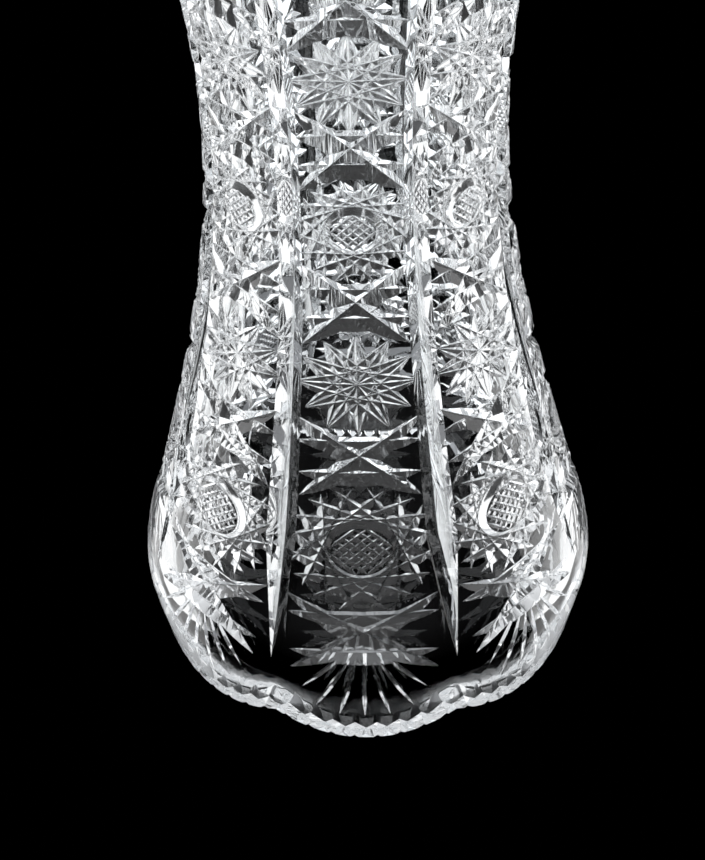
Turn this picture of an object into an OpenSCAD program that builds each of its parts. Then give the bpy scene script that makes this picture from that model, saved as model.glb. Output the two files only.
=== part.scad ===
// Cut crystal vase: one waisted blank of lead crystal with its cutting.
// It stands on its base with the saw-toothed mouth up. Origin: centre of the base's underside.

/* [Blank] */
// Height from the base to the top of the rim
height = 300; // [280:5:320]
// Outer radius at the rim
rim_r = 60; // [58:0.5:62]
// Outer radius at the shoulder, the widest place, just under the rim
shoulder_r = 61; // [59:0.5:63]
// Outer radius at the waist, the narrowest place
waist_r = 32.5; // [31:0.5:35]
// Outer radius at the foot
foot_r = 46; // [43:0.5:49]
// Thickness of the wall
wall = 7.5; // [7:0.25:8.5]
// Thickness of the bottom
bottom = 14; // [12:0.5:18]

/* [Rim] */
// Number of cut panels round the vase, with one scallop of the rim over each
panels = 8; // [7:1:9]
// Saw teeth in one scallop
teeth = 8; // [6:1:9]
// Drop of the rim from the middle of a scallop to where two scallops meet
scallop_drop = 6; // [4:0.5:8]
// Depth of a saw-tooth notch at the outer edge of the rim
notch_out = 1.4; // [1:0.1:2]
// Depth of a saw-tooth notch at the inner edge of the rim
notch_in = 3.8; // [3:0.1:4.5]

/* [Cutting] */
// Width of the long mitre flutes between panels, as a share of a panel
flute_share = 0.2; // [0.16:0.01:0.22]
// Slope of a flute's two facets
flute_slope = 35; // [30:1:40]
// Depth of the crossed mitres in the middle of a panel
cross_depth = 2.5; // [1.8:0.1:2.8]
// Depth of the two level mitres beside each crossing
level_depth = 2; // [1.4:0.1:2.3]
// Half of the angle of a mitre wheel's edge
wheel_angle = 50; // [45:1:55]
// Number of rays in the star under the base
star_rays = 16; // [8:4:16]
// Depth of those rays
star_depth = 2; // [1.5:0.25:2.25]

/* [Hidden] */
$fn = 64;
turn = 360 / panels;

// Outer outline as [share of the height, radius], from the foot to the rim
stations = [
    [0, foot_r],
    [0.04, foot_r - 0.4],
    [0.2, waist_r + 8.2],
    [0.333, waist_r + 4.6],
    [0.483, waist_r],
    [0.6, waist_r + 2.2],
    [0.733, waist_r + 10.6],
    [0.85, waist_r + 20.5],
    [0.94, shoulder_r],
    [1, rim_r]
];
last = len(stations) - 1;

// Where the mitres of a panel cross, as [share of the height, slope of the mitres]
crossings = [
    [0.153, 35],
    [0.277, 36],
    [0.397, 38],
    [0.496, 38],
    [0.609, 38],
    [0.73, 35],
    [0.882, 29]
];

// Slope of the outline at station i, from its neighbours
function lean(i) =
    let(a = stations[max(i - 1, 0)], b = stations[min(i + 1, last)])
    (b[1] - a[1]) / (b[0] - a[0]);

// Radius a share t of the way from station i to the next, on a smooth cubic
function blend(i, t) =
    let(a = stations[i], b = stations[i + 1], w = b[0] - a[0])
    a[1] * (2 * t ^ 3 - 3 * t ^ 2 + 1) + b[1] * (3 * t ^ 2 - 2 * t ^ 3)
    + w * (lean(i) * (t ^ 3 - 2 * t ^ 2 + t) + lean(i + 1) * (t ^ 3 - t ^ 2));

function seek(s, i = 0) = i >= last - 1 || s < stations[i + 1][0] ? i : seek(s, i + 1);

// Outer radius at height z, and how far the surface leans out from upright there
function radius(z) =
    let(s = z / height, i = seek(s))
    blend(i, (s - stations[i][0]) / (stations[i + 1][0] - stations[i][0]));
function flare(z) = atan((radius(z + 1) - radius(z - 1)) / 2);

// Outlines of the blank outside and inside, a ring every ring_gap up the wall
ring_gap = 10;
floor_round = 8;
outer = [for (z = [0 : ring_gap : height]) [radius(z), z]];
inner = [for (p = outer) if (p[1] >= bottom + floor_round) [p[0] - wall, p[1]]];

// The plain blank, before it is cut
module blank() {
    difference() {
        rotate_extrude() polygon(concat([[0, 0]], outer, [[0, height]]));
        rotate_extrude()
            polygon(concat(
                [[0, bottom], [inner[0][0] - floor_round, bottom]],
                inner,
                [[rim_r - wall, height + 1], [0, height + 1]]
            ));
    }
}

// Straight V-shaped cut along X, its bottom edge through the origin, open towards -Y
module v_bar(length, half_angle, tall) {
    w = tall * tan(half_angle);
    rotate([0, 90, 0])
        linear_extrude(height = length, center = true)
            polygon([[0, 0], [-w, -tall], [w, -tall]]);
}

// What is ground away between the middles of two neighbouring scallops
module scallop_gap() {
    half = rim_r * sin(turn / 2);
    steps = 5;
    low = [for (i = [-steps : steps]) [0.9 * half * i / steps, -scallop_drop * (1 - 0.9 * abs(i) / steps) ^ 2]];
    translate([0, 0, height])
        rotate([90, 0, 0])
            linear_extrude(height = 2 * rim_r)
                polygon(concat(low, [[0.9 * half, 5], [-0.9 * half, 5]]));
}

// One saw-tooth notch across the rim's thickness, deeper inside; across runs from -1 to 1 over a scallop
module rim_notch(across) {
    pitch = rim_r * turn * PI / 180 / teeth;
    half_angle = 42;
    drop = scallop_drop * abs(across) ^ 2;
    dip = atan((notch_in - notch_out) / wall);
    translate([0, -rim_r, height - drop - notch_out])
        rotate([dip, 0, 0])
            rotate([-90, 0, 90])
                v_bar(6 * pitch, half_angle, pitch);
}

// One side of a flute: all that lies outside a facet that slopes by flute_slope across the groove
module flute_side(slope) {
    low = 0.05 * height;
    high = 0.913 * height;
    taper = 0.11 * height;
    rings = 14;
    function depth(z) =
        let(ends = min(1, (z - low) / taper, (high - z) / taper))
        ends * flute_share * radius(z) * turn * PI / 360 * tan(flute_slope);
    edge = [
        for (i = [0 : rings])
            let(z = low - 4 + (high - low + 8) * i / rings)
            [-(radius(z) - depth(z)) * cos(slope), z]
    ];
    rotate([0, 0, -slope])
        rotate([90, 0, 90])
            linear_extrude(height = rim_r, center = true)
                polygon(concat(edge, [[-2 * rim_r, edge[rings][1]], [-2 * rim_r, edge[0][1]]]));
}

// Long V-shaped flute up the join of two panels, tapering to a point near the rim and the foot
module flute() {
    intersection() {
        flute_side(flute_slope);
        flute_side(-flute_slope);
    }
}

// Straight mitre on the middle of a panel at height z, turned by tilt from level
module mitre(z, tilt, depth) {
    span = 0.84 * radius(z) * turn * PI / 180 / cos(tilt);
    translate([0, -radius(z), z])
        rotate([flare(z), 0, 0])
            translate([0, depth, 0])
                rotate([0, tilt, 0])
                    v_bar(span, wheel_angle, 1.2 * depth);
}

// Two crossed mitres, with a level one above and below them
module crossing(z, slope) {
    gap = 0.12 * radius(z) * turn * PI / 180;
    for (side = [-1, 1]) {
        mitre(z, side * slope, cross_depth);
        mitre(z + side * gap, 0, level_depth);
    }
}

// Star of rays cut into the base round a plain middle
module base_star() {
    inside = 0.2 * foot_r;
    outside = 0.8 * foot_r;
    for (i = [0 : star_rays - 1])
        rotate([0, 0, 360 * i / star_rays])
            translate([(inside + outside) / 2, 0, star_depth])
                rotate([90, 0, 0])
                    v_bar(outside - inside, 35, 1.4 * star_depth);
}

module vase() {
    color([0.86, 0.9, 0.93, 0.5])
        difference() {
            blank();
            for (i = [0 : panels - 1]) {
                rotate([0, 0, turn * (i + 0.5)]) {
                    scallop_gap();
                    flute();
                }
                rotate([0, 0, turn * i])
                    for (c = crossings) crossing(c[0] * height, c[1]);
                for (k = [0.5 : teeth - 0.5])
                    rotate([0, 0, turn * (i + k / teeth - 0.5)])
                        rim_notch(2 * k / teeth - 1);
            }
            base_star();
        }
}

vase();
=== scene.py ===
"""Cut crystal vase: the blank, the wheel cutting and the studio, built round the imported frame."""
import math

import bpy
from mathutils import Matrix, Vector


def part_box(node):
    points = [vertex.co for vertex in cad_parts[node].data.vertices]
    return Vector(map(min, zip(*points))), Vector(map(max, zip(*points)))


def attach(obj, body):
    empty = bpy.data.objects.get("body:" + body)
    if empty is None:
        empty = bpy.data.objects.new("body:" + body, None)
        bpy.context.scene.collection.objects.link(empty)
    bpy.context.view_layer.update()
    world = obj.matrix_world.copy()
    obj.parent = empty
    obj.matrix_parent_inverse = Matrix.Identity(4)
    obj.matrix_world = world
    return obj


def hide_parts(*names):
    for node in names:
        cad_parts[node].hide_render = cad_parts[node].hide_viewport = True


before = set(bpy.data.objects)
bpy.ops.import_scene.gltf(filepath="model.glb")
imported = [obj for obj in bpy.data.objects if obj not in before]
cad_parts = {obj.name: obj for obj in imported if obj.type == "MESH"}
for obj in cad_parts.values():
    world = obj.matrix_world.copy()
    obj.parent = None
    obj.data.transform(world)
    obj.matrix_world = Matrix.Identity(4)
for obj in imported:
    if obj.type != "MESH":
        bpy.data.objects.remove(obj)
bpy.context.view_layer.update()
VASE_LOW, VASE_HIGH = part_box("vase")

bl_info = {
    "name": "Cut Crystal Vase",
    "version": (1, 0, 0),
    "blender": (4, 5, 0),
    "location": "3D View > Sidebar > Vase",
    "description": "A waisted vase of lead crystal with wheel-cut panels",
    "category": "Add Mesh",
}

MM = 0.001
SEGMENTS_PER_PANEL = 16
RING_GAP = 4 * MM
RUN_OUT = 0.06 * MM        # how far past the surface a cut is carried, so that it runs out cleanly
FULL_STAR = 17 * MM        # reach of a star that takes the full depth of cut
BUTTON_SHARE = 0.454       # radius of a star's button as a share of the star's reach
HATCH_SHARE = 0.27         # depth of a hatch line as a share of its spacing
BASE_RAYS = 24
SHARP = math.radians(18)   # edges of the cutting sharper than this aren't smoothed


# Properties ---------------------------------------------------------------------------------


class VASE_PG_blank(bpy.types.PropertyGroup):
    """Sizes of the blank before it is cut."""

    rim: bpy.props.FloatProperty(
        name="Rim", description="Outer radius at the rim", default=60 * MM, unit="LENGTH")
    shoulder: bpy.props.FloatProperty(
        name="Shoulder", description="Outer radius just under the rim", default=61 * MM, unit="LENGTH")
    waist: bpy.props.FloatProperty(
        name="Waist", description="Outer radius at the narrowest place", default=32.5 * MM, unit="LENGTH")
    foot: bpy.props.FloatProperty(
        name="Foot", description="Outer radius at the base", default=46 * MM, unit="LENGTH")
    wall: bpy.props.FloatProperty(
        name="Wall", description="Thickness of the wall", default=7.5 * MM, unit="LENGTH")
    bottom: bpy.props.FloatProperty(
        name="Bottom", description="Thickness of the bottom", default=14 * MM, unit="LENGTH")
    scallop: bpy.props.FloatProperty(
        name="Scallop", description="Drop of the rim where two scallops meet",
        default=6 * MM, unit="LENGTH")


class VASE_PG_cutting(bpy.types.PropertyGroup):
    """Sizes of the wheel cutting."""

    panels: bpy.props.IntProperty(
        name="Panels", description="Cut panels round the vase", default=8)
    teeth: bpy.props.IntProperty(
        name="Teeth", description="Saw teeth in one scallop", default=8)
    mitre: bpy.props.FloatProperty(
        name="Crossed mitres", description="Depth of the crossed mitres", default=2.5 * MM, unit="LENGTH")
    level: bpy.props.FloatProperty(
        name="Level mitres", description="Depth of the level mitres", default=1.9 * MM, unit="LENGTH")
    star: bpy.props.FloatProperty(
        name="Stars", description="Depth of the star cuts", default=1.3 * MM, unit="LENGTH")
    stretch: bpy.props.FloatProperty(
        name="Star width", description="Width of a star for its height", default=1.14)
    ray: bpy.props.FloatProperty(
        name="Fan rays", description="Depth of the leaf-shaped fan rays", default=0.6 * MM, unit="LENGTH")
    hatch: bpy.props.FloatProperty(
        name="Hatch", description="Spacing of the hatch lines on a button", default=1.7 * MM, unit="LENGTH")
    flute: bpy.props.FloatProperty(
        name="Flutes", description="Width of a flute as a share of a panel", default=0.21)
    wheel: bpy.props.FloatProperty(
        name="Wheel edge", description="Half angle of the mitre wheel's edge", default=math.radians(50),
        subtype="ANGLE")


class VASE_PG_glass(bpy.types.PropertyGroup):
    """Finish of the glass."""

    tint: bpy.props.StringProperty(
        name="Tint", description="Colour that the crystal lets through", default="FBFDFE")
    ior: bpy.props.FloatProperty(
        name="IOR", description="Refractive index of lead crystal", default=1.56)
    cut_rough: bpy.props.FloatProperty(
        name="Broad cuts", description="Roughness of the polished broad cuts", default=0.03)
    fine_rough: bpy.props.FloatProperty(
        name="Fine cuts", description="Roughness of the stars and hatching", default=0.09)
    eased_edge: bpy.props.FloatProperty(
        name="Eased edge", description="Radius that polishing gives the cuts' edges",
        default=0.22 * MM, subtype="DISTANCE", unit="LENGTH")


class VASE_PG_studio(bpy.types.PropertyGroup):
    """Camera, lamps and floor."""

    focal: bpy.props.FloatProperty(
        name="Focal length", description="Focal length in picture heights", default=1.4535)
    key: bpy.props.FloatProperty(
        name="Side lamps", description="Power of each side lamp", default=2.0, unit="POWER")
    floor_power: bpy.props.FloatProperty(
        name="Floor lamp", description="Power of the lamp over the floor", default=270.0, unit="POWER")
    floor: bpy.props.StringProperty(
        name="Floor", description="Colour of the floor", default="E6E7E9")


# Small helpers ------------------------------------------------------------------------------


def srgb(code):
    """Linear colour, with alpha, of an sRGB hex code."""
    parts = [int(code[i:i + 2], 16) / 255 for i in (0, 2, 4)]
    return [p / 12.92 if p <= 0.04045 else ((p + 0.055) / 1.055) ** 2.4 for p in parts] + [1.0]


def add_node(tree, kind, settings=None, values=None, links=None):
    """Adds one node: settings are its own fields, values and links go to its inputs."""
    node = tree.nodes.new(kind)
    for name, value in (settings or {}).items():
        setattr(node, name, value)
    for socket, value in (values or {}).items():
        node.inputs[socket].default_value = value
    for socket, source in (links or {}).items():
        tree.links.new(source, node.inputs[socket])
    return node


def new_object(name, mesh):
    """Links a new object that holds the mesh."""
    thing = bpy.data.objects.new(name, mesh)
    bpy.context.scene.collection.objects.link(thing)
    return thing


# Form ---------------------------------------------------------------------------------------


class Outline:
    """The outer outline of the blank: a smooth cubic through stations up its height."""

    def __init__(self, sizes):
        self.height = VASE_HIGH.z - VASE_LOW.z
        self.wall = sizes.wall
        waist = sizes.waist
        self.stations = [
            (0, sizes.foot),
            (0.04, sizes.foot - 0.4 * MM),
            (0.2, waist + 8.2 * MM),
            (0.333, waist + 4.6 * MM),
            (0.483, waist),
            (0.6, waist + 2.2 * MM),
            (0.733, waist + 10.6 * MM),
            (0.85, waist + 20.5 * MM),
            (0.94, sizes.shoulder),
            (1, sizes.rim),
        ]

    def lean(self, i):
        """Slope at station i, from its neighbours."""
        a = self.stations[max(i - 1, 0)]
        b = self.stations[min(i + 1, len(self.stations) - 1)]
        return (b[1] - a[1]) / (b[0] - a[0])

    def radius(self, z):
        """Outer radius at height z."""
        share = min(max(z / self.height, 0), 1)
        i = max(k for k in range(len(self.stations) - 1) if self.stations[k][0] <= share)
        a, b = self.stations[i], self.stations[i + 1]
        width = b[0] - a[0]
        t = (share - a[0]) / width
        ends = a[1] * (2 * t ** 3 - 3 * t ** 2 + 1) + b[1] * (3 * t ** 2 - 2 * t ** 3)
        slopes = self.lean(i) * (t ** 3 - 2 * t ** 2 + t) + self.lean(i + 1) * (t ** 3 - t ** 2)
        return ends + width * slopes

    def flare(self, z):
        """How far the surface leans out from upright at height z."""
        step = 0.5 * MM
        return math.atan2(self.radius(z + step) - self.radius(z - step), 2 * step)

    def surface(self, angle, z):
        """Point and outward normal at an angle round the axis from -Y and a height."""
        r, lean = self.radius(z), self.flare(z)
        out = Vector((math.sin(angle), -math.cos(angle), 0))
        point = out * r + Vector((0, 0, z))
        return point, out * math.cos(lean) - Vector((0, 0, math.sin(lean)))

    def lay(self, middle, across, along):
        """Point and normal of a flat pattern laid on the panel round height middle."""
        lean = self.flare(middle)
        out = self.radius(middle) + along * math.sin(lean)
        return self.surface(math.atan2(across, out), middle + along * math.cos(lean))


class Cuts:
    """Lines along which wheels cut: the bottom of each cut, with the way out of the glass."""

    def __init__(self):
        self.points = []
        self.edges = []
        self.normals = []

    def add(self, places, closed=False):
        """Adds one line; places holds (point, normal, depth)."""
        first = len(self.points)
        for point, normal, depth in places:
            self.points.append(point - normal * depth)
            self.normals.append(normal)
        count = len(places)
        self.edges += [(first + i, first + i + 1) for i in range(count - 1)]
        if closed:
            self.edges.append((first + count - 1, first))

    def straight(self, outline, middle, start, end, depth, steps=8, shape=2.0, stretch=1.0):
        """Adds a straight cut on a panel, deepest in its middle and running out at both ends."""
        places = []
        for i in range(steps + 1):
            t = i / steps
            across = (start[0] + (end[0] - start[0]) * t) * stretch
            along = start[1] + (end[1] - start[1]) * t
            fade = 1 - abs(2 * t - 1) ** shape
            places.append((*outline.lay(middle, across, along), (depth + RUN_OUT) * fade - RUN_OUT))
        self.add(places)

    def to_object(self, name):
        """An object whose loose edges are the lines."""
        mesh = bpy.data.meshes.new(name)
        mesh.from_pydata([tuple(p) for p in self.points], self.edges, [])
        way = mesh.attributes.new("way_out", "FLOAT_VECTOR", "POINT")
        for i, normal in enumerate(self.normals):
            way.data[i].vector = normal
        return new_object(name, mesh)


# Heights of the crossed mitres as shares of the height, with their slope
CROSSINGS = [
    (0.153, math.radians(35)),
    (0.277, math.radians(36)),
    (0.397, math.radians(38)),
    (0.496, math.radians(38)),
    (0.609, math.radians(38)),
    (0.73, math.radians(35)),
    (0.882, math.radians(29)),
]


def blank_mesh(outline, sizes, panels):
    """The closed blank: a spun profile whose rim is ground into scallops."""
    high = outline.height
    foot_round = 1.2 * MM
    rim_round = 0.35 * MM
    floor_round = 9 * MM
    scallop_reach = 25 * MM
    foot = outline.radius(0)
    profile = [(foot - foot_round, 0), (foot - 0.35 * foot_round, 0.3 * foot_round)]
    rings = round((high - rim_round - foot_round) / RING_GAP)
    heights = [foot_round + (high - rim_round - foot_round) * i / rings for i in range(rings + 1)]
    profile += [(outline.radius(z), z) for z in heights]
    profile.append((sizes.rim - rim_round, high))
    profile.append((sizes.rim - sizes.wall + rim_round, high))
    inside = [(outline.radius(z) - sizes.wall, z) for z in heights if z > sizes.bottom + floor_round]
    profile += reversed(inside)
    corner = inside[0][0]
    for i in range(1, 7):
        a = math.radians(15 * i)
        across, up = floor_round * (1 - math.cos(a)), floor_round * (1 - math.sin(a))
        profile.append((corner - across, sizes.bottom + up))
    segments = panels * SEGMENTS_PER_PANEL
    points, faces = [], []
    for r, z in profile:
        for k in range(segments):
            angle = 2 * math.pi * k / segments
            across = (k / SEGMENTS_PER_PANEL + 0.5) % 1 * 2 - 1
            near_rim = max(0, 1 - (high - z) / scallop_reach) ** 1.5
            drop = sizes.scallop * across ** 2 * near_rim
            points.append((r * math.sin(angle), -r * math.cos(angle), z - drop))
    for i in range(len(profile) - 1):
        for k in range(segments):
            a, b = i * segments + k, i * segments + (k + 1) % segments
            faces.append((a, b, b + segments, a + segments))
    points += [(0, 0, 0), (0, 0, sizes.bottom)]
    last = (len(profile) - 1) * segments
    for k in range(segments):
        after = (k + 1) % segments
        faces.append((len(points) - 2, after, k))
        faces.append((len(points) - 1, last + k, last + after))
    mesh = bpy.data.meshes.new("blank")
    mesh.from_pydata(points, [], faces)
    return mesh


def panel_cuts(outline, cutting):
    """The mitres, stars and fans of the panel that faces -Y, and the hatch of its buttons."""
    mitres, stars, hatch = Cuts(), Cuts(), Cuts()
    turn = 2 * math.pi / cutting.panels
    heights = [share * outline.height for share, _ in CROSSINGS]

    for z, (_, slope) in zip(heights, CROSSINGS):
        pitch = outline.radius(z) * turn
        reach = 0.44 * pitch
        rise = reach * math.tan(slope)
        for side in (-1, 1):
            mitres.straight(outline, z, (-reach, -side * rise), (reach, side * rise), cutting.mitre, 8)
            gap = side * 0.12 * pitch
            mitres.straight(outline, z, (-reach, gap), (reach, gap), cutting.level, 6, 2.4)

    for i in range(len(heights) - 1):
        z = (heights[i] + heights[i + 1]) / 2
        pitch = outline.radius(z) * turn
        if i % 2:
            hobstar(stars, hatch, outline, z, 0.445 * pitch, cutting)
        else:
            twelve_point_star(stars, outline, z, 0.41 * pitch, cutting)
    fan(stars, outline, heights[-1], 1, cutting)
    fan(stars, outline, heights[0], -1, cutting)
    return mitres, stars, hatch


def hobstar(stars, hatch, outline, z, size, cutting):
    """Sixteen cuts round a raised round button, and the fine hatch on the button."""
    offset = BUTTON_SHARE * size
    half = math.sqrt(size ** 2 - offset ** 2)
    depth = cutting.star * (0.55 + 0.45 * size / FULL_STAR)
    for k in range(16):
        a = math.radians(22.5 * k)
        side = Vector((math.cos(a), math.sin(a)))
        along = Vector((-side.y, side.x))
        stars.straight(outline, z, side * offset - along * half, side * offset + along * half, depth,
                       6, 3.5, cutting.stretch)
    ring = []
    for k in range(36):
        a = math.radians(10 * k)
        place = outline.lay(z, cutting.stretch * offset * math.cos(a), offset * math.sin(a))
        ring.append((*place, depth))
    stars.add(ring, closed=True)
    button = offset - 0.7 * depth
    spacing = cutting.hatch * (0.4 + 0.6 * size / FULL_STAR)
    lines = int(button / spacing)
    for k in range(-lines, lines + 1):
        near = k * spacing
        half = math.sqrt(max(button ** 2 - near ** 2, 0))
        if half < spacing:
            continue
        for a in (math.radians(45), math.radians(135)):
            side = Vector((math.cos(a), math.sin(a)))
            along = Vector((-side.y, side.x))
            hatch.straight(outline, z, side * near - along * half, side * near + along * half,
                           HATCH_SHARE * spacing, 4, 12, cutting.stretch)


def twelve_point_star(stars, outline, z, size, cutting):
    """Twelve long cuts from point to point, and six through the middle."""
    depth = cutting.star * (0.4 + 0.4 * size / FULL_STAR)
    offset = size * math.cos(math.radians(75))
    half = size * math.sin(math.radians(75))
    for k in range(12):
        a = math.radians(30 * k + 15)
        side = Vector((math.cos(a), math.sin(a)))
        along = Vector((-side.y, side.x))
        stars.straight(outline, z, side * offset - along * half, side * offset + along * half, depth,
                       6, 3.0, cutting.stretch)
    for k in range(6):
        a = math.radians(30 * k)
        along = Vector((math.cos(a), math.sin(a)))
        stars.straight(outline, z, -along * size, along * size, 1.1 * depth, 6, 3.0, cutting.stretch)


def fan(stars, outline, z, up, cutting):
    """Leaf-shaped rays that open from a crossing towards the nearer end of the vase."""
    pitch = outline.radius(z) * 2 * math.pi / cutting.panels
    start = 0.1 * pitch
    for angle, reach in ((0, 0.6), (15, 0.61), (30, 0.6), (45, 0.52)):
        for side in ((-1, 1) if angle else (1,)):
            a = math.radians(side * angle)
            way = Vector((math.sin(a), up * math.cos(a)))
            stars.straight(outline, z, way * start, way * reach * pitch, cutting.ray, 7, 1.8)


def flute_cut(outline, cutting):
    """The long flute at the join of two panels, tapering to a point at both ends."""
    cuts = Cuts()
    turn = 2 * math.pi / cutting.panels
    low, high, taper = 0.05 * outline.height, 0.913 * outline.height, 0.11 * outline.height
    slope = math.radians(35)
    steps = 90
    extra = 2 * MM
    places = []
    for i in range(steps + 1):
        z = low - extra + (high - low + 2 * extra) * i / steps
        ends = min(1, (z - low) / taper, (high - z) / taper)
        depth = ends * cutting.flute * outline.radius(z) * turn / 2 * math.tan(slope)
        places.append((*outline.surface(turn / 2, z), depth))
    cuts.add(places)
    return cuts


def rim_cuts(outline, sizes, cutting):
    """The notches between the saw teeth of one scallop, deeper inside than outside."""
    cuts = Cuts()
    turn = 2 * math.pi / cutting.panels
    outer_depth, inner_depth, extra = 1.4 * MM, 3.8 * MM, 2.5 * MM
    tilt = (inner_depth - outer_depth) / sizes.wall
    for k in range(cutting.teeth):
        share = (k + 0.5) / cutting.teeth - 0.5
        out = Vector((math.sin(share * turn), -math.cos(share * turn), 0))
        top = outline.height - sizes.scallop * (2 * share) ** 2 - outer_depth
        outside = out * (sizes.rim + extra) + Vector((0, 0, top + tilt * extra))
        inward = -out * (sizes.wall + 2 * extra) - Vector((0, 0, tilt * (sizes.wall + 2 * extra)))
        cuts.add([(outside, Vector((0, 0, 1)), 0), (outside + inward, Vector((0, 0, 1)), 0)])
    return cuts


def base_cuts(sizes):
    """One ray of the star under the base."""
    cuts = Cuts()
    steps = 8
    inner, outer = 0.06 * sizes.foot, 0.86 * sizes.foot
    places = []
    for i in range(steps + 1):
        t = i / steps
        depth = 3.0 * MM * (1 - abs(2 * t - 1) ** 2.5) - RUN_OUT
        places.append((Vector((0, -(inner + (outer - inner) * t), 0)), Vector((0, 0, -1)), depth))
    cuts.add(places)
    return cuts


# Geometry Nodes -----------------------------------------------------------------------------


def wheel_group():
    """Node group that sweeps a V-edged wheel along each line and repeats it round the axis."""
    tree = bpy.data.node_groups.new("Wheel cuts", "GeometryNodeTree")
    face = tree.interface
    face.new_socket("Lines", in_out="INPUT", socket_type="NodeSocketObject")
    face.new_socket("Half Angle", in_out="INPUT", socket_type="NodeSocketFloat")
    face.new_socket("Wheel Height", in_out="INPUT", socket_type="NodeSocketFloat")
    face.new_socket("Copies", in_out="INPUT", socket_type="NodeSocketInt")
    face.new_socket("Fine", in_out="INPUT", socket_type="NodeSocketBool")
    face.new_socket("Wheels", in_out="OUTPUT", socket_type="NodeSocketGeometry")
    given = add_node(tree, "NodeGroupInput").outputs
    lines = add_node(tree, "GeometryNodeObjectInfo", links={"Object": given["Lines"]})
    curves = add_node(tree, "GeometryNodeMeshToCurve", links={"Mesh": lines.outputs["Geometry"]})
    copies = add_node(tree, "GeometryNodeDuplicateElements", {"domain": "SPLINE"},
                      links={"Geometry": curves.outputs[0], "Amount": given["Copies"]})
    step = add_node(tree, "ShaderNodeMath", {"operation": "DIVIDE"}, {0: 2 * math.pi},
                    {1: given["Copies"]})
    angle = add_node(tree, "ShaderNodeMath", {"operation": "MULTIPLY"},
                     links={0: copies.outputs[1], 1: step.outputs[0]})
    place = add_node(tree, "GeometryNodeInputPosition")
    turned = add_node(tree, "ShaderNodeVectorRotate", {"rotation_type": "Z_AXIS"},
                      links={"Vector": place.outputs[0], "Angle": angle.outputs[0]})
    moved = add_node(tree, "GeometryNodeSetPosition",
                     links={"Geometry": copies.outputs[0], "Position": turned.outputs[0]})
    way = add_node(tree, "GeometryNodeInputNamedAttribute", {"data_type": "FLOAT_VECTOR"},
                   {"Name": "way_out"})
    way_turned = add_node(tree, "ShaderNodeVectorRotate", {"rotation_type": "Z_AXIS"},
                          links={"Vector": way.outputs[0], "Angle": angle.outputs[0]})
    set_way = add_node(tree, "GeometryNodeSetCurveNormal", {"mode": "FREE"},
                       links={"Curve": moved.outputs[0], "Normal": way_turned.outputs[0]})
    half = add_node(tree, "ShaderNodeMath", {"operation": "TANGENT"}, links={0: given["Half Angle"]})
    wide = add_node(tree, "ShaderNodeMath", {"operation": "MULTIPLY"},
                    links={0: half.outputs[0], 1: given["Wheel Height"]})
    back = add_node(tree, "ShaderNodeMath", {"operation": "MULTIPLY"}, {1: -1.0}, {0: wide.outputs[0]})
    left = add_node(tree, "ShaderNodeCombineXYZ", links={"X": given["Wheel Height"], "Y": wide.outputs[0]})
    right = add_node(tree, "ShaderNodeCombineXYZ", links={"X": given["Wheel Height"], "Y": back.outputs[0]})
    edge = add_node(tree, "GeometryNodeCurvePrimitiveCircle", {"mode": "RADIUS"}, {"Resolution": 3})
    index = add_node(tree, "GeometryNodeInputIndex")
    is_left = add_node(tree, "FunctionNodeCompare", {"data_type": "INT", "operation": "EQUAL"}, {3: 2},
                       {2: index.outputs[0]})
    is_edge = add_node(tree, "FunctionNodeCompare", {"data_type": "INT", "operation": "EQUAL"}, {3: 0},
                       {2: index.outputs[0]})
    pick_side = add_node(tree, "GeometryNodeSwitch", {"input_type": "VECTOR"},
                         links={0: is_left.outputs[0], 1: right.outputs[0], 2: left.outputs[0]})
    pick = add_node(tree, "GeometryNodeSwitch", {"input_type": "VECTOR"}, {2: (0, 0, 0)},
                    {0: is_edge.outputs[0], 1: pick_side.outputs[0]})
    section = add_node(tree, "GeometryNodeSetPosition",
                       links={"Geometry": edge.outputs[0], "Position": pick.outputs[0]})
    swept = add_node(tree, "GeometryNodeCurveToMesh", values={"Fill Caps": True},
                     links={"Curve": set_way.outputs[0], "Profile Curve": section.outputs[0]})
    marked = add_node(tree, "GeometryNodeStoreNamedAttribute", {"data_type": "BOOLEAN", "domain": "FACE"},
                      {"Name": "cut", "Value": True}, {"Geometry": swept.outputs[0]})
    graded = add_node(tree, "GeometryNodeStoreNamedAttribute", {"data_type": "BOOLEAN", "domain": "FACE"},
                      {"Name": "fine"}, {"Geometry": marked.outputs[0], "Value": given["Fine"]})
    island = add_node(tree, "GeometryNodeInputMeshIsland")
    split = add_node(tree, "GeometryNodeSplitToInstances", {"domain": "FACE"},
                     links={"Geometry": graded.outputs[0], "Group ID": island.outputs[0]})
    add_node(tree, "NodeGroupOutput", links={0: split.outputs[0]})
    return tree


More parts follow.
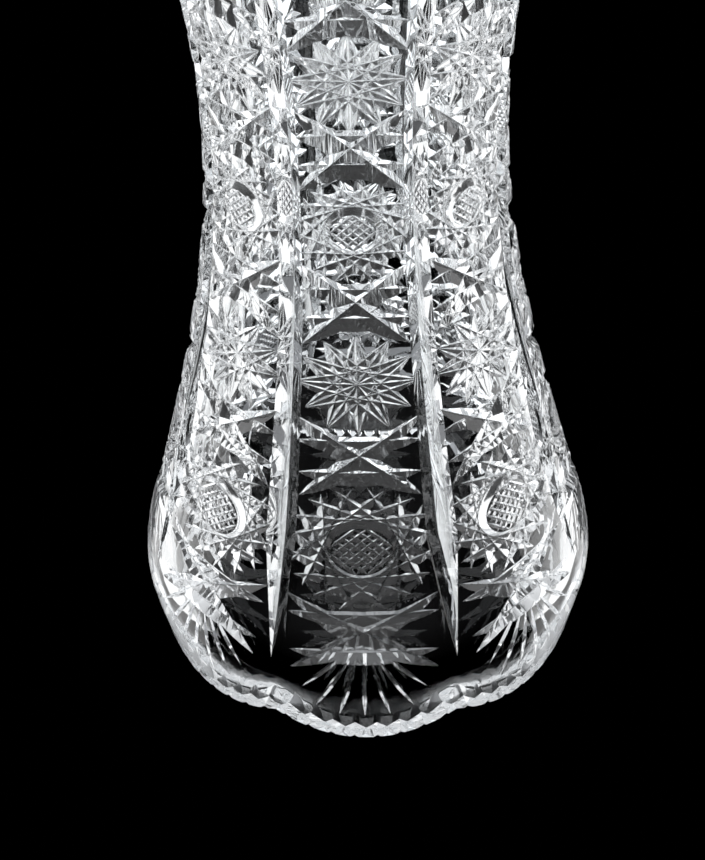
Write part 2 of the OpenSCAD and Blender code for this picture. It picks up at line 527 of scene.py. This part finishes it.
def cutting_tree(jobs, wheels):
    """Tree that takes every wheel cut out of the blank.

    A job is (name, object, half angle, wheel height, copies, whether it leaves the fine finish).
    """
    tree = bpy.data.node_groups.new("Cut the blank", "GeometryNodeTree")
    face = tree.interface
    face.new_socket("Blank", in_out="INPUT", socket_type="NodeSocketGeometry")
    for name, *_ in jobs:
        face.new_socket(f"{name} Lines", in_out="INPUT", socket_type="NodeSocketObject")
        face.new_socket(f"{name} Half Angle", in_out="INPUT", socket_type="NodeSocketFloat")
        face.new_socket(f"{name} Wheel Height", in_out="INPUT", socket_type="NodeSocketFloat")
        face.new_socket(f"{name} Copies", in_out="INPUT", socket_type="NodeSocketInt")
        face.new_socket(f"{name} Fine", in_out="INPUT", socket_type="NodeSocketBool")
    face.new_socket("Blown Finish", in_out="INPUT", socket_type="NodeSocketMaterial")
    face.new_socket("Cut Finish", in_out="INPUT", socket_type="NodeSocketMaterial")
    face.new_socket("Fine Finish", in_out="INPUT", socket_type="NodeSocketMaterial")
    face.new_socket("Cut Glass", in_out="OUTPUT", socket_type="NodeSocketGeometry")
    given = add_node(tree, "NodeGroupInput").outputs
    join = add_node(tree, "GeometryNodeJoinGeometry")
    for name, *_ in jobs:
        links = {i: given[f"{name} {part}"] for i, part in
                 enumerate(("Lines", "Half Angle", "Wheel Height", "Copies", "Fine"))}
        group = add_node(tree, "GeometryNodeGroup", {"node_tree": wheels}, links=links)
        tree.links.new(group.outputs[0], join.inputs[0])
    cut = add_node(tree, "GeometryNodeMeshBoolean", {"operation": "DIFFERENCE", "solver": "MANIFOLD"},
                   links={0: given["Blank"], 1: join.outputs[0]})
    whole = add_node(tree, "GeometryNodeRealizeInstances", links={"Geometry": cut.outputs[0]})
    blown = add_node(tree, "GeometryNodeSetMaterial",
                     links={"Geometry": whole.outputs[0], "Material": given["Blown Finish"]})
    is_cut = add_node(tree, "GeometryNodeInputNamedAttribute", {"data_type": "BOOLEAN"}, {"Name": "cut"})
    ground = add_node(tree, "GeometryNodeSetMaterial",
                      links={"Geometry": blown.outputs[0], "Selection": is_cut.outputs[0],
                             "Material": given["Cut Finish"]})
    is_fine = add_node(tree, "GeometryNodeInputNamedAttribute", {"data_type": "BOOLEAN"}, {"Name": "fine"})
    fine = add_node(tree, "GeometryNodeSetMaterial",
                    links={"Geometry": ground.outputs[0], "Selection": is_fine.outputs[0],
                           "Material": given["Fine Finish"]})
    add_node(tree, "NodeGroupOutput", links={0: fine.outputs[0]})
    return tree


def cut_blank(blank, jobs, finishes):
    """Runs the cutting tree on the blank and returns the plain mesh."""
    tree = cutting_tree(jobs, wheel_group())
    modifier = blank.modifiers.new("Cutting", "NODES")
    modifier.node_group = tree
    sockets = {item.name: item.identifier for item in tree.interface.items_tree if item.in_out == "INPUT"}
    for name, lines, half_angle, height, copies, fine in jobs:
        modifier[sockets[f"{name} Lines"]] = lines
        modifier[sockets[f"{name} Half Angle"]] = half_angle
        modifier[sockets[f"{name} Wheel Height"]] = height
        modifier[sockets[f"{name} Copies"]] = copies
        modifier[sockets[f"{name} Fine"]] = fine
    for name, material in finishes.items():
        modifier[sockets[name]] = material
    depsgraph = bpy.context.evaluated_depsgraph_get()
    mesh = bpy.data.meshes.new_from_object(blank.evaluated_get(depsgraph), depsgraph=depsgraph)
    blank.modifiers.remove(modifier)
    return mesh


# Finish -------------------------------------------------------------------------------------


def lead_crystal(look, name, roughness, ripple_width, ripple_depth):
    """Clear lead crystal, whose high index gives its sparkle, with the ripple that its making leaves."""
    material = bpy.data.materials.new(name)
    material.use_nodes = True
    tree = material.node_tree
    shader = tree.nodes["Principled BSDF"]
    shader.inputs["Base Color"].default_value = srgb(look.tint)
    shader.inputs["Transmission Weight"].default_value = 1.0
    shader.inputs["IOR"].default_value = look.ior
    shader.inputs["Roughness"].default_value = roughness
    where = add_node(tree, "ShaderNodeTexCoord")
    ripple = add_node(tree, "ShaderNodeTexNoise", values={"Scale": 1 / ripple_width, "Detail": 2.0},
                      links={"Vector": where.outputs["Object"]})
    bump = add_node(tree, "ShaderNodeBump", values={"Strength": 1.0, "Distance": ripple_depth},
                    links={"Height": ripple.outputs["Fac"]})
    if roughness > 0:
        # Polishing eases the edges of the cuts, so each draws a thin bright line.
        edge = add_node(tree, "ShaderNodeBevel", {"samples": 4}, {"Radius": look.eased_edge})
        tree.links.new(edge.outputs["Normal"], bump.inputs["Normal"])
    tree.links.new(bump.outputs["Normal"], shader.inputs["Normal"])
    return material


def floor_material(studio):
    """Pale matt painted board: a faint mottle keeps it from looking flat."""
    material = bpy.data.materials.new("painted board")
    material.use_nodes = True
    tree = material.node_tree
    shader = tree.nodes["Principled BSDF"]
    shader.inputs["Roughness"].default_value = 0.55
    mottles_per_metre = 9.0
    where = add_node(tree, "ShaderNodeTexCoord")
    mottle = add_node(tree, "ShaderNodeTexNoise", values={"Scale": mottles_per_metre, "Detail": 5.0},
                      links={"Vector": where.outputs["Object"]})
    pale = srgb(studio.floor)
    dull = [0.93 * part for part in pale[:3]] + [1.0]
    mix = add_node(tree, "ShaderNodeMix", {"data_type": "RGBA"}, {6: pale, 7: dull},
                   {0: mottle.outputs["Fac"]})
    tree.links.new(mix.outputs[2], shader.inputs["Base Color"])
    return material


# Operators ----------------------------------------------------------------------------------


class VASE_OT_vase(bpy.types.Operator):
    """Blow the blank and cut it"""

    bl_idname = "vase.make_vase"
    bl_label = "Vase"

    def execute(self, context):
        scene = context.scene
        sizes, cutting = scene.vase_blank, scene.vase_cutting
        outline = Outline(sizes)
        blank = new_object("blank", blank_mesh(outline, sizes, cutting.panels))
        mitres, stars, hatch = panel_cuts(outline, cutting)
        jobs = [
            ("Mitre", mitres.to_object("mitre_lines"), cutting.wheel, 4.5 * MM, cutting.panels, False),
            ("Star", stars.to_object("star_lines"), cutting.wheel, 2.6 * MM, cutting.panels, True),
            ("Hatch", hatch.to_object("hatch_lines"), math.radians(50), 1.4 * MM, cutting.panels, True),
            ("Flute", flute_cut(outline, cutting).to_object("flute_lines"), math.radians(55), 6 * MM,
             cutting.panels, False),
            ("Rim", rim_cuts(outline, sizes, cutting).to_object("rim_lines"), math.radians(42), 7 * MM,
             cutting.panels, False),
            ("Base", base_cuts(sizes).to_object("base_lines"), math.radians(40), 4 * MM,
             BASE_RAYS, False),
        ]
        glass = scene.vase_glass
        mesh = cut_blank(blank, jobs, {
            # Fire-polished wall: a slow ripple from the blowing, which bends what is seen through it.
            "Blown Finish": lead_crystal(glass, "blown lead crystal", 0.0, 16 * MM, 0.012 * MM),
            # Broad polished cuts: bright, with a hint of the wheel left in them.
            "Cut Finish": lead_crystal(glass, "cut lead crystal", glass.cut_rough, 3 * MM, 0.0015 * MM),
            # Fine cuts, left softer by the polish: a faint frost, its grain drawn coarse enough to show.
            "Fine Finish": lead_crystal(glass, "fine cut lead crystal", glass.fine_rough, 0.8 * MM,
                                        0.001 * MM),
        })
        least_faces = 5000
        if len(mesh.polygons) < least_faces:
            raise RuntimeError("the cutting of the blank failed")
        for thing in [blank, *(job[1] for job in jobs)]:
            bpy.data.objects.remove(thing)
        mesh.name = "cut_crystal"
        mesh.polygons.foreach_set("use_smooth", [True] * len(mesh.polygons))
        mesh.set_sharp_from_angle(angle=SHARP)
        vase = new_object("cut_crystal", mesh)
        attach(vase, "root")
        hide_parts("vase")
        return {"FINISHED"}


class VASE_OT_stage(bpy.types.Operator):
    """Lay the floor, hang the lamps and place the camera"""

    bl_idname = "vase.make_stage"
    bl_label = "Stage"

    def execute(self, context):
        scene = context.scene
        studio = scene.vase_studio
        floor_radius, edges = 4.5, 128
        mesh = bpy.data.meshes.new("floor")
        turns = [2 * math.pi * i / edges for i in range(edges)]
        corners = [(floor_radius * math.cos(turn), floor_radius * math.sin(turn), 0) for turn in turns]
        mesh.from_pydata(corners, [], [tuple(range(edges))])
        floor = new_object("floor", mesh)
        floor.data.materials.append(floor_material(studio))
        self.lamps(scene, studio, floor)
        self.world(scene)
        self.camera(scene, studio)
        scene.view_settings.view_transform = "Standard"
        bounces = 28
        scene.cycles.max_bounces = bounces
        scene.cycles.glossy_bounces = bounces
        scene.cycles.transmission_bounces = bounces
        return {"FINISHED"}

    def lamps(self, scene, studio, floor):
        """Soft lamps at both sides, a low one behind, and a broad one that lights only the floor."""
        middle = Vector((0, 0, 0.55 * VASE_HIGH.z))
        for name, place, aim, size, power in (
            ("left lamp", (-0.75, 0.2, 0.45), middle, (0.7, 0.8), studio.key),
            ("right lamp", (0.75, 0.2, 0.45), middle, (0.7, 0.8), studio.key),
            ("back lamp", (0, 0.95, 0.24), middle, (1.5, 0.36), 1.1 * studio.key),
            ("floor lamp", (0, 0.5, 3), Vector((0, 0.5, 0)), (8, 8), studio.floor_power),
        ):
            data = bpy.data.lights.new(name, "AREA")
            data.shape = "RECTANGLE"
            data.size, data.size_y = size
            data.energy = power
            lamp = bpy.data.objects.new(name, data)
            scene.collection.objects.link(lamp)
            lamp.location = place
            lamp.rotation_euler = (aim - Vector(place)).to_track_quat("-Z", "Y").to_euler()
            lamp.visible_camera = False
        only_floor = bpy.data.collections.new("lit by the floor lamp")
        only_floor.objects.link(floor)
        lamp.light_linking.receiver_collection = only_floor

    def world(self, scene):
        """A dark room, black overhead and grey towards the horizon."""
        world = bpy.data.worlds.new("dark room")
        world.use_nodes = True
        tree = world.node_tree
        where = add_node(tree, "ShaderNodeTexCoord")
        split = add_node(tree, "ShaderNodeSeparateXYZ", links={0: where.outputs["Generated"]})
        ramp = add_node(tree, "ShaderNodeValToRGB", links={0: split.outputs["Z"]})
        stops = ramp.color_ramp.elements
        stops[0].position, stops[0].color = 0.0, srgb("F0F2F6")
        stops[1].position, stops[1].color = 0.36, srgb("000000")
        middle = stops.new(0.2)
        middle.color = srgb("98999C")
        tree.links.new(ramp.outputs[0], tree.nodes["Background"].inputs["Color"])
        around = add_node(tree, "ShaderNodeMapRange", {"interpolation_type": "SMOOTHSTEP"},
                          {"From Min": -0.5, "From Max": 0.8, "To Min": 0.3, "To Max": 0.8},
                          {"Value": split.outputs["Y"]})
        tree.links.new(around.outputs[0], tree.nodes["Background"].inputs["Strength"])
        scene.world = world

    def camera(self, scene, studio):
        """Below the mouth, looking up at it and turned half over, so that the mouth hangs down."""
        data = bpy.data.cameras.new("camera")
        data.sensor_fit = "VERTICAL"
        data.sensor_height = 24
        data.lens = studio.focal * data.sensor_height
        data.clip_start = 0.01
        camera = bpy.data.objects.new("camera", data)
        scene.collection.objects.link(camera)
        place = Vector((-7.5, -239.8, 27.3)) * MM
        heading, pitch, roll = math.radians(2.52), math.radians(42.73), math.radians(-2.25)
        level = Vector((math.sin(heading), math.cos(heading), 0))
        ahead = level * math.cos(pitch) + Vector((0, 0, math.sin(pitch)))
        right = Vector((-math.cos(heading), math.sin(heading), 0))
        up = right.cross(ahead)
        turned_right = right * math.cos(roll) + up * math.sin(roll)
        turned_up = up * math.cos(roll) - right * math.sin(roll)
        basis = Matrix((turned_right, turned_up, -ahead)).transposed().to_4x4()
        camera.matrix_world = Matrix.Translation(place) @ basis
        scene.camera = camera


class VASE_PT_panel(bpy.types.Panel):
    """Lists the steps and their sizes"""

    bl_label = "Cut Crystal Vase"
    bl_idname = "VASE_PT_panel"
    bl_space_type = "VIEW_3D"
    bl_region_type = "UI"
    bl_category = "Vase"

    def draw(self, context):
        layout = self.layout
        for group in GROUPS:
            box = layout.box()
            settings = getattr(context.scene, group)
            for name in settings.bl_rna.properties.keys():
                if name not in ("rna_type", "name"):
                    box.prop(settings, name)
        for operator in STEPS:
            layout.operator(operator.bl_idname)


GROUPS = {
    "vase_blank": VASE_PG_blank,
    "vase_cutting": VASE_PG_cutting,
    "vase_glass": VASE_PG_glass,
    "vase_studio": VASE_PG_studio,
}
STEPS = (VASE_OT_vase, VASE_OT_stage)


def register():
    """Adds the sizes, the operators and the panel to Blender."""
    for group in GROUPS.values():
        bpy.utils.register_class(group)
    for step in STEPS:
        bpy.utils.register_class(step)
    bpy.utils.register_class(VASE_PT_panel)
    for name, group in GROUPS.items():
        setattr(bpy.types.Scene, name, bpy.props.PointerProperty(type=group))


def unregister():
    """Takes them away again, in the other order."""
    for name in GROUPS:
        delattr(bpy.types.Scene, name)
    for kind in (VASE_PT_panel, *STEPS, *GROUPS.values()):
        bpy.utils.unregister_class(kind)


def main():
    """Builds the vase and its stage."""
    register()
    bpy.ops.vase.make_vase()
    bpy.ops.vase.make_stage()


if __name__ == "__main__":
    main()
